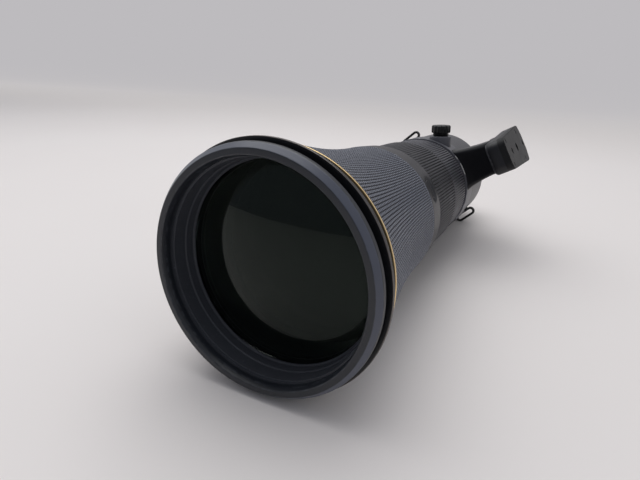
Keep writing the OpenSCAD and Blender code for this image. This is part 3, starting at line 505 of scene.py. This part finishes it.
# Button ring: a smooth painted ring with four scooped oval seats, each with a function button
# of the same grey that is pushed in by a thumb.
buttons_len, ring_taper, ring_bore = 25.7, 1.6, 50.0
buttons_back = buttons_y + buttons_len
button_y = (buttons_y + buttons_back) / 2
button_at = 30 + 90 * np.arange(4)
middle_r = barrel_r - ring_taper / 2
scoop_len, scoop_wide, scoop_deep = 24.6, 15.6, 1.9
hole_len, hole_wide, hole_deep = 17, 8, 4.2
seat_floor = middle_r - scoop_deep
seat_degrees, flat_half = 16, 16
spots = np.concatenate([np.linspace(-seat_degrees, seat_degrees, 96), np.linspace(18, 72, 19)])
angle = np.radians((button_at[:, None] + spots).ravel())
station = np.concatenate([
    [buttons_y, buttons_y + 0.15, buttons_y + 0.5],
    np.linspace(buttons_y + 1.2, buttons_back - 1.2, 60),
    [buttons_back - 0.5, buttons_back - 0.15, buttons_back]])
fall = barrel_r - ring_taper * (station - buttons_y) / buttons_len
fall[[0, -1]] -= 0.6
fall[[1, -2]] -= 0.2


def stadium_gap(u, v, length, width):
    """Distance outside an oval with straight sides; it is negative inside."""
    return np.hypot(np.maximum(np.abs(u) - (length - width) / 2, 0), v) - width / 2


off = (angle[:, None] - np.radians(button_at) + math.pi) % turn - math.pi
around_mm = off[np.arange(len(angle)), np.abs(off).argmin(1)] * middle_r
from_seat = around_mm[:, None], (station - button_y)[None, :]
away = stadium_gap(*from_seat, scoop_len, scoop_wide)
dip = smooth(-away / scoop_deep)
flat_r = seat_floor / np.cos(around_mm / middle_r * (np.abs(around_mm) < flat_half))
hole = np.clip(0.5 - stadium_gap(*from_seat, hole_len, hole_wide) / 0.5, 0, 1)
outer_r = fall * (1 - dip) + np.minimum(flat_r[:, None], fall) * dip - hole_deep * hole
button_grid = around(
    angle, np.pad(outer_r, ((0, 0), (0, 2)), constant_values=ring_bore),
    np.concatenate([station, [buttons_back, buttons_y]]))
rim = np.zeros(len(station))
rim[[1, 2, -3, -2]] = 1
lip = np.exp(-(away / 0.45) ** 2)
edge = np.pad(np.maximum(lip, rim), ((0, 0), (0, 2)))
barrel_paint = painted("barrel_grey", (60, 60, 64), gloss=0.40, wear=0.28, shell=True)
button_ring_paint = painted(
    "button_ring_grey", (34, 34, 38), gloss=0.40, wear=0.28, shell=True)
fit(skin("button_ring", button_ring_paint, button_grid, {"edge": edge}),
    "lens_barrel", "light_grey_paint", "button_ring")


def outline(length, width, corner, count=48):
    """A closed outline of a rounded box: the corner circle's centre in each quarter, plus the
    corner radius along the direction. Length runs round the barrel, width along it."""
    a = (np.arange(count) + 0.5) / count * turn
    u = np.sign(np.cos(a)) * (length / 2 - corner) + corner * np.cos(a)
    v = np.sign(np.sin(a)) * (width / 2 - corner) + corner * np.sin(a)
    return np.stack([u, v], -1)


def standing(u, y, h, degrees):
    """Points at u round the barrel, station y and height h above the axis, turned by the
    degrees a: (h cos a - u sin a, y, h sin a + u cos a)."""
    a = math.radians(degrees)
    return np.stack([
        h * math.cos(a) - u * math.sin(a), y, h * math.sin(a) + u * math.cos(a)], -1)


def plug(name, material, rows, degrees, y, aside=0.0, edges=None):
    """A closed post that stands on the barrel. Each row is an outline and its height above the
    axis, one number or one for each point. It is set at station y, and aside."""
    line = np.stack([row[0] for row in rows])
    h = np.stack([np.broadcast_to(row[1], line.shape[1]) for row in rows]).astype(float)
    marks = np.zeros(len(rows)) if edges is None else np.array(edges, float)
    return skin(
        name, material, standing(line[..., 0] - aside, y + line[..., 1], h, degrees),
        {"edge": marks[:, None]}, loops=(False, True), poles=True)


def domed(length, width, corner, low, high, soft, dish=0.0):
    """Rows of a post with rounded upper edges and a slightly dished top, and its edge marks."""
    def inset(by):
        return outline(length - 2 * by, width - 2 * by, max(corner - by, 0.02))

    whole = outline(length, width, corner)
    return [
        (whole * 0, low), (whole * 0.9, low), (whole, low + 0.05), (whole, high - soft - 0.1),
        (whole, high - soft), (inset(soft * 0.15), high - soft * 0.45),
        (inset(soft * 0.5), high - soft * 0.12), (inset(soft), high), (inset(soft + 0.4), high),
        (whole * 0.55, high - dish * 0.6), (whole * 0.25, high - dish), (whole * 0, high - dish)
    ], [0, 0, 0, 0, 0.5, 1, 1, 0.5, 0, 0, 0, 0]


button_len, button_wide = 16.3, 7.3
button_paint = painted("button_grey", (34, 34, 37), gloss=0.42, wear=0.2)
rows, marks = domed(
    button_len, button_wide, button_wide / 2, seat_floor - 4, seat_floor + 0.9, 0.9, dish=0.35)
for number, degrees in enumerate(button_at, 1):
    button = "fn_button_%d" % number
    fit(plug(button, button_paint, rows, degrees, button_y, edges=marks),
        button, "black_plastic", button)

# Focus ring and control ring: two thin turned sleeves that run on the main tube, with bare
# edges, and over each a rubber sleeve of 128 wide ribs with narrow grooves between them.
sleeve_bright = turned_metal("sleeve_bright", (150, 152, 156), gloss=0.30, scale=5200)
# The second colour of each rubber is the painted shade in its grooves.
ring_rubber = rubbery("rib_rubber", (44, 44, 49), (4, 4, 5), (52, 52, 56), gloss=0.5)
# The control ring has the same rubber as the focus ring, painted lighter as a painted highlight on
# its ribs.
control_rubber = rubbery("control_rubber", (70, 70, 76), (4, 4, 5), (80, 80, 86), gloss=0.46)
sleeve_in, sleeve_out, bare_edge = 50.35, 52.35, 1.6
rib_count, rib_high = 128, 0.9
rib_shares = np.array([0.02, 0.14, 0.20, 0.27, 0.5, 0.73, 0.80, 0.86])
rib_rise = np.array([0.0, 0.05, 0.8, 1.0, 1.0, 1.0, 0.8, 0.05])
rib_edge = np.array([0, 0, 1, 0.5, 0, 0.5, 1, 0])


def ribbed(name, material, y0, y1, r):
    """A sleeve whose radius follows one rib's outline, repeated round it. At both ends the
    grooves run out into a plain rounded rim."""
    angle = ((np.arange(rib_count)[:, None] + rib_shares) / rib_count * turn).ravel()
    rise, shoulder = (np.tile(values, rib_count)[:, None] for values in (rib_rise, rib_edge))
    from_end = np.array([0, 0, 0.25, 0.7, 1.3, 1.6])
    drop, in_ribs = (np.append(half, half[::-1]) for half in (
        np.array([r - sleeve_out, 0.75, 0.22, 0.05, 0.1, 0]), np.array([0, 0, 0, 0, 0, 1])))
    radius = np.where(in_ribs, r - rib_high * (1 - rise), r - drop)
    station = np.append(y0 + from_end, (y1 - from_end)[::-1])
    # The valley marks paint shade into the grooves between the ribs.
    return skin(name, material, around(angle, radius, station), {
        "valley_and_shade": (1 - rise) * in_ribs, "edge": shoulder * in_ribs})


for ring, y0, width, r, rubber in (
        ("focus", -268.9, 70.5, 56.2, ring_rubber),
        ("control", -197.8, 53.0, 54.4, control_rubber)):
    y1 = y0 + width
    fit(sleeve(ring + "_ring", sleeve_bright, sleeve_in, sleeve_out, y0, y1, 0.3),
        ring + "_ring", "sleeve_metal", ring + "_ring")
    fit(ribbed(ring + "_rubber", rubber, y0 + bare_edge, y1 - bare_edge, r),
        ring + "_ring", "rib_rubber", ring + "_rubber")

# Collar: a cast and turned ring that turns on the main tube and carries the foot, with a round
# boss beside its top for the knob that locks it.
collar_y, collar_back, knob_y = -140.6, -112.6, -126.6
collar_in, collar_r = 51.35, 55.3
knob_degrees, knob_aside = 93, 19.1
boss_r, boss_root, boss_top, boss_bore = 11.6, 53.2, 57.3, 3.05
collar_paint = painted("collar_grey", (84, 84, 90), gloss=0.38, wear=0.28)
fit(sleeve("collar_ring", collar_paint, collar_in, collar_r, collar_y, collar_back, 1.1),
    "collar", "light_grey_paint", "collar_ring")
boss, bore = (outline(2 * r, 2 * r, r, 64) for r in (boss_r, boss_bore))
on_ring = np.sqrt(boss_root ** 2 - (boss[:, 0] - knob_aside) ** 2)
boss_rows = [
    (boss * 0.999, on_ring), (boss, on_ring + 0.01), (boss * 1.03, on_ring + 2.4),
    (boss, on_ring + 4.4), (boss, np.maximum(boss_top - 0.7, on_ring + 4.41)),
    (boss * 0.985, boss_top - 0.2), (boss * 0.955, boss_top), (bore * 1.1, boss_top),
    (bore, boss_top - 0.2), (bore, boss_top - 3.3)]
fit(plug("knob_boss", collar_paint, boss_rows, knob_degrees, knob_y, knob_aside,
    edges=[0, 0, 0, 0, 0.4, 1, 1, 0.3, 0, 0]), "collar", "light_grey_paint", "collar_ring")

# Lock knob: a black moulded cap with twelve broad lobes on a smooth waist. It is pressed on a
# steel stem that screws into the boss and clamps the collar.
knob_sides, lobes = 180, 12
knob_angle = (np.arange(knob_sides) + 0.5) / knob_sides * turn


def fluted(r, depth):
    """A circle of radius r, less a round flute of that depth between each two lobes."""
    radius = r - depth * (0.5 - 0.5 * np.cos(knob_angle * lobes)) ** 2.2
    return np.stack([radius * np.cos(knob_angle), radius * np.sin(knob_angle)], -1)


# Each row is a radius, the depth of its flutes, its height above the axis and its edge mark.
knob_line = (
    (0, 0, 51.2, 0), (3, 0, 51.2, 0), (3, 0, 57.65, 0), (8.0, 0, 57.65, 0), (8.3, 0, 57.9, 0),
    (8.3, 0, 60.6, 0), (8.7, 0, 61.0, 0), (9.7, 0.3, 61.05, 0), (10.2, 0.9, 61.5, 0.6),
    (10.4, 1.0, 62.2, 0.5), (10.4, 1.0, 67.6, 0.5), (10.1, 0.9, 68.5, 1), (9.3, 0.3, 69.1, 1),
    (8.6, 0, 69.25, 0.5), (5.4, 0, 69.25, 0.6), (5.1, 0, 69.0, 0.6), (4.8, 0, 68.7, 0),
    (0, 0, 68.6, 0))
knob_black = moulded("knob_black", (8, 8, 9), gloss=0.36)
fit(plug("lock_knob", knob_black, [(fluted(r, depth), h) for r, depth, h, _ in knob_line],
    knob_degrees, knob_y, knob_aside, edges=[row[3] for row in knob_line]),
    "lock_knob", "black_plastic", "lock_knob")

# Foot arm: cast in one with the plate and painted black. It grows out of the collar and bows
# out fore and aft until it runs into the plate.
foot_degrees = 29.3
plate_in, plate_out = 93.8, 112.0
root_r, arm_top, arm_len, arm_corner, arm_sides = 54.6, plate_in + 0.4, 44.7, 5.0, 96
fillet, fillet_fade = 1.56, 2.2
grow = np.linspace(0, 1, 28)
swell = fillet * (
    np.exp(-grow * arm_len / fillet_fade) + np.exp((grow - 1) * arm_len / fillet_fade))
bow = np.interp(grow, [0, 0.25, 0.5, 0.75, 1], [0, 0.08, 0.27, 0.57, 1])
bow = np.convolve(np.pad(bow, 3, mode="reflect", reflect_type="odd"), np.ones(7) / 7, "valid")
arm_round = 33 + 12.4 * (1 - grow) ** 2 + 2 * swell
arm_front, arm_back = -140.0 - 20 * bow, -113.2 + 40 * bow
middle = (arm_front + arm_back) / 2
arm_rows = [(np.tile([0, middle[0]], (arm_sides, 1)), root_r)]
for k in range(len(grow)):
    line = (0, middle[k]) + outline(
        arm_round[k], arm_back[k] - arm_front[k] - 1.5 + swell[k], arm_corner, arm_sides)
    base = np.sqrt(root_r ** 2 - line[:, 0] ** 2)
    arm_rows.append((line, base + (arm_top - base) * grow[k]))
arm_rows.append((np.tile([0, middle[-1]], (arm_sides, 1)), arm_top))
foot_black = moulded("foot_black", (17, 17, 21), gloss=0.42, grain=0.00005, scale=1800)
fit(plug("foot_arm", foot_black, arm_rows, foot_degrees, 0.0),
    "collar", "foot_black", "foot_arm")

# Foot plate and sole: a cast plate with well rounded edges towards the barrel. The sole under it
# is machined, worn grey on its face and black on its sides, and held by four black screws.
plate_y, plate_len, plate_corner, plate_round, sole_thick = -201.6, 130.0, 8.0, 3.4, 6.0
middle_y, seam = plate_y + plate_len / 2, plate_out - sole_thick
corner_spots = np.array([(7.8, -57.0), (12.7, 53.0), (6.9, 57.0)])


def plan(inset):
    """Plan of the plate seen along the foot: the hull of six corner circles, three on each side.
    The point in each direction lies on the circle that reaches farthest that way."""
    a = (np.arange(128) + 0.5) / 128 * turn
    way = np.stack([np.cos(a), np.sin(a)], -1)
    spots = np.concatenate([corner_spots, corner_spots * (-1, 1)])
    return spots[(way @ spots.T).argmax(1)] + (plate_corner - inset) * way


soft = np.linspace(0, math.pi / 2, 7)
rows = [(plan(0) * 0, plate_in)]
rows += [(plan(plate_round * (1 - math.sin(t))), plate_in + plate_round * (1 - math.cos(t)))
         for t in soft]
rows += [(plan(0), seam - 0.1), (plan(0.1), seam), (plan(0) * 0, seam)]
fit(plug("foot_plate", foot_black, rows, foot_degrees, middle_y,
    edges=[0] + [math.sin(2 * t) for t in soft] + [0, 0.6, 0]),
    "collar", "foot_black", "foot_plate")

sole_finish = Finish("sole_grey", Specular_IOR_Level=0.35)
patchy, fine = sole_finish.noise(70, 5), sole_finish.noise(1800, 2)
flecks = sole_finish.rise(sole_finish.noise(420, 3), 0.60, 0.68)
foot_way = (math.cos(math.radians(foot_degrees)), 0, math.sin(math.radians(foot_degrees)))
outward = sole_finish.node("ShaderNodeVectorMath", {"operation": "DOT_PRODUCT"}, {
    0: sole_finish.place, 1: foot_way}, out="Value")
on_face = sole_finish.rise(outward, (plate_out - 0.5) * mm, (plate_out - 0.2) * mm)
sole_finish.relief(fine, 0.00004)
worn_tone = sole_finish.blend(patchy, tone(22, 22, 22), tone(32, 32, 30))
worn_tone = sole_finish.blend(flecks * 0.6, worn_tone, tone(68, 66, 62))
sole_grey = sole_finish.set(
    Base_Color=sole_finish.blend(on_face, tone(14, 14, 16), worn_tone),
    Roughness=patchy * 0.2 + fine * 0.1 + 0.4)

# Strap lugs: two loops of blackened steel wire on short cast feet. They are screwed to opposite
# sides of the tail, and take the ends of the carrying strap.
lug_y, lug_out, slot_long, slot_high = -48.96, 60.0, 20.5, 4.6
loop_wire, wire_deep = 3.0, 3.6
lug_black = moulded("lug_black", (10, 10, 11), gloss=0.4)


def strap_loop(name, degrees):
    """A closed loop of round-cornered wire round the slot: its middle line is an oval of
    straight sides, and its section is an oval that is swept along it."""
    a = (np.arange(96) + 0.5) / 96 * turn
    b = np.arange(16) / 16 * turn
    long_half, short_half = (slot_long + loop_wire) / 2, (slot_high + loop_wire) / 2
    mid_u = np.sign(np.cos(a)) * (long_half - short_half) + short_half * np.cos(a)
    mid_h = short_half * np.sin(a)
    off, thick = (size / 2 * np.sign(wave) * np.abs(wave) ** 0.7 for size, wave in (
        (loop_wire, np.cos(b)), (wire_deep, np.sin(b))))
    u = mid_u[:, None] + np.cos(a)[:, None] * off
    h = lug_out + mid_h[:, None] + np.sin(a)[:, None] * off
    grid = standing(u, lug_y + np.broadcast_to(thick, u.shape), h, degrees)
    return skin(name, lug_black, grid, {"edge": np.abs(np.cos(b)) * np.abs(np.sin(b)) * 2})


rows, marks = domed(13.7, 7.2, 1.4, 53.2, 56.55, 0.6)
for number, degrees in enumerate((-47.5, 132.5), 1):
    fit(strap_loop("strap_loop_%d" % number, degrees),
        "lens_barrel", "black_metal", "strap_lugs")
    fit(plug("lug_foot_%d" % number, lug_black, rows, degrees, lug_y, edges=marks),
        "lens_barrel", "black_metal", "strap_lugs")

# Index marks: two short white bars beside the foot. They are cut into the front edge of the
# collar and filled with paint.
white_paint = painted("index_white", (206, 206, 204), gloss=0.5, wear=0.1)
mark_r, mark_y, mark_wide, proud = 55.15, -140.25, 0.7, 0.04


def bar_mark(name, degrees, length):
    """A closed thin bar that follows the round of the collar and stands a little proud."""
    line = outline(length, mark_wide, 0.45 * mark_wide)
    rows = [(line * share, np.sqrt((mark_r + lift) ** 2 - (line[:, 0] * share) ** 2))
            for share, lift in (
                (0, -0.6), (1, -0.6), (1, proud), (0.75, proud), (0.5, proud), (0.25, proud),
                (0, proud))]
    return fit(plug(name, white_paint, rows, degrees, mark_y), "collar", "light_grey_paint")


for number, (degrees, length) in enumerate(((30, 13.0), (44.5, 5.0)), 1):
    bar_mark("collar_mark_%d" % number, degrees, length)

# Front optics: a black ring with grooves against stray light holds the front element, a large
# weakly curved glass 27 mm behind the face.
glass_y, glass_r = front_y + 27, 68.5
wall_black = painted(
    "wall_black", (60, 62, 68), grain=0.00002, gloss=0.42, bare=(40, 41, 45), wear=0.2,
    shine=0.25)
fit(turned("front_retainer", wall_black, [
    (69.9, seat_y, 0.1), (70.1, seat_y, 0.1), (70.1, glass_y, 0.1), (66.4, glass_y, 0.1),
    (66.4, glass_y - 0.7, 0.3), (67.3, glass_y - 1.8, 0.4), (67.6, front_y + 19.6, 0.6),
    (68.3, front_y + 18.8, 0.6), (68.6, front_y + 9.4, 0.5), (69.9, front_y + 9.2, 0.1)]),
    "lens_barrel", "black_metal", "front_retainer")


def lens_line(r, y0, y1, front_curve, back_curve):
    """Profile of a glass: two arcs of the given curves that bulge outwards, and a plain edge."""
    out = r * np.linspace(0, 1, 24)
    bulge_0, bulge_1 = (
        curve - np.sqrt(curve ** 2 - out ** 2) for curve in (front_curve, back_curve))
    return np.concatenate([
        np.stack([out, y0 - bulge_0[-1] + bulge_0], -1),
        np.stack([out, y1 + bulge_1[-1] - bulge_1], -1)[::-1]])


def glass_disc(name, material, line):
    """The glass's profile carried round the axis."""
    angle = np.arange(256) / 256 * turn
    radius = np.repeat(line[None, :, 0], len(angle), 0)
    return skin(
        name, material, around(angle, radius, line[:, 1]), loops=(True, False), poles=True)


def coated_glass(name, shine):
    """Optical glass whose coating lets only a share of the reflection through, given by the
    colour of its shine, with a few faint smears."""
    glass = Finish(name, Transmission_Weight=1.0, IOR=1.5, Specular_Tint=tone(*shine))
    return glass.set(
        Base_Color=glass.blend(glass.noise(30, 4), tone(112, 120, 115), tone(128, 135, 131)),
        Roughness=0.0)


front_coating = coated_glass("front_coating", (150, 164, 156))
inner_coating = coated_glass("inner_coating", (26, 30, 27))
fit(glass_disc("front_glass", front_coating, lens_line(
    glass_r, glass_y + 0.86, glass_y + 11.6, 4.4 * glass_r, 8 * glass_r)),
    "lens_barrel", "glass", "front_glass")

# The other pieces, inside and at the rear: cast shells and cells, turned rings, rods, motors,
# the board, the mount and the screws. They are screwed or pressed together. Each shows its own
# solid's mesh, with the finish of its real part.
plain_black = moulded("black_moulding", (20, 20, 22), gloss=0.5)
satin_black = moulded("black_coating", (20, 20, 22), gloss=0.5, grain=0.00003)
baffle_black = moulded("baffle_black", (5, 5, 6), gloss=0.7, grain=0.00003)
inner_grey = painted("band_grey", (60, 61, 66), gloss=0.4, shell=True)
chrome = turned_metal("mount_chrome", (196, 196, 194), gloss=0.2, scale=3800, dull=(120, 120, 118))
contact_gold = turned_metal("contact_gold", (210, 170, 90), gloss=0.22, scale=9000)
steel = turned_metal("screw_steel", (120, 118, 114), gloss=0.34, scale=6000)
motor_steel = turned_metal("motor_steel", (96, 96, 100), gloss=0.36, scale=3000)
seal = rubbery("seal_rubber", (24, 24, 25), (10, 10, 10), (30, 30, 31))

board = Finish("circuit_board", Specular_IOR_Level=0.5)
track = board.node("ShaderNodeTexVoronoi", {"feature": "DISTANCE_TO_EDGE"}, {
    "Vector": board.place, "Scale": 260.0, "Randomness": 0.85})
copper = board.rise(track, 0.05, 0.09)
board_green = board.set(
    Base_Color=board.blend(copper, tone(150, 120, 66), tone(18, 74, 44)),
    Roughness=copper * 0.25 + 0.25)

finishes = {
    "anodised_ring": ring_paint, "black_metal": satin_black, "grey_paint": inner_grey,
    "light_grey_paint": barrel_paint, "gold": gold, "grip_rubber": grip_rubber,
    "rib_rubber": ring_rubber,
    "sleeve_metal": sleeve_bright, "black_plastic": plain_black, "foot_black": foot_black,
    "foot_sole": sole_grey, "screw_steel": steel, "black_screw": satin_black,
    "glass": inner_coating,
    "mount_chrome": chrome, "contact_gold": contact_gold, "seal_rubber": seal, "board": board_green,
    "steel_rod": steel, "motor_metal": motor_steel, "blade_black": satin_black}
inner_black = (
    "glass_cells", "focus_cell", "stab_frame", "stab_carrier", "rear_baffle", "focus_motor")
for row in frame["record"]["subparts"]:
    solid = frame["nodes"][row["node"]]
    solid.data.materials.clear()
    dull_inside = row["node"] in inner_black or row["node"].startswith("iris")
    solid.data.materials.append(baffle_black if dull_inside else finishes[row["material_slot"]])
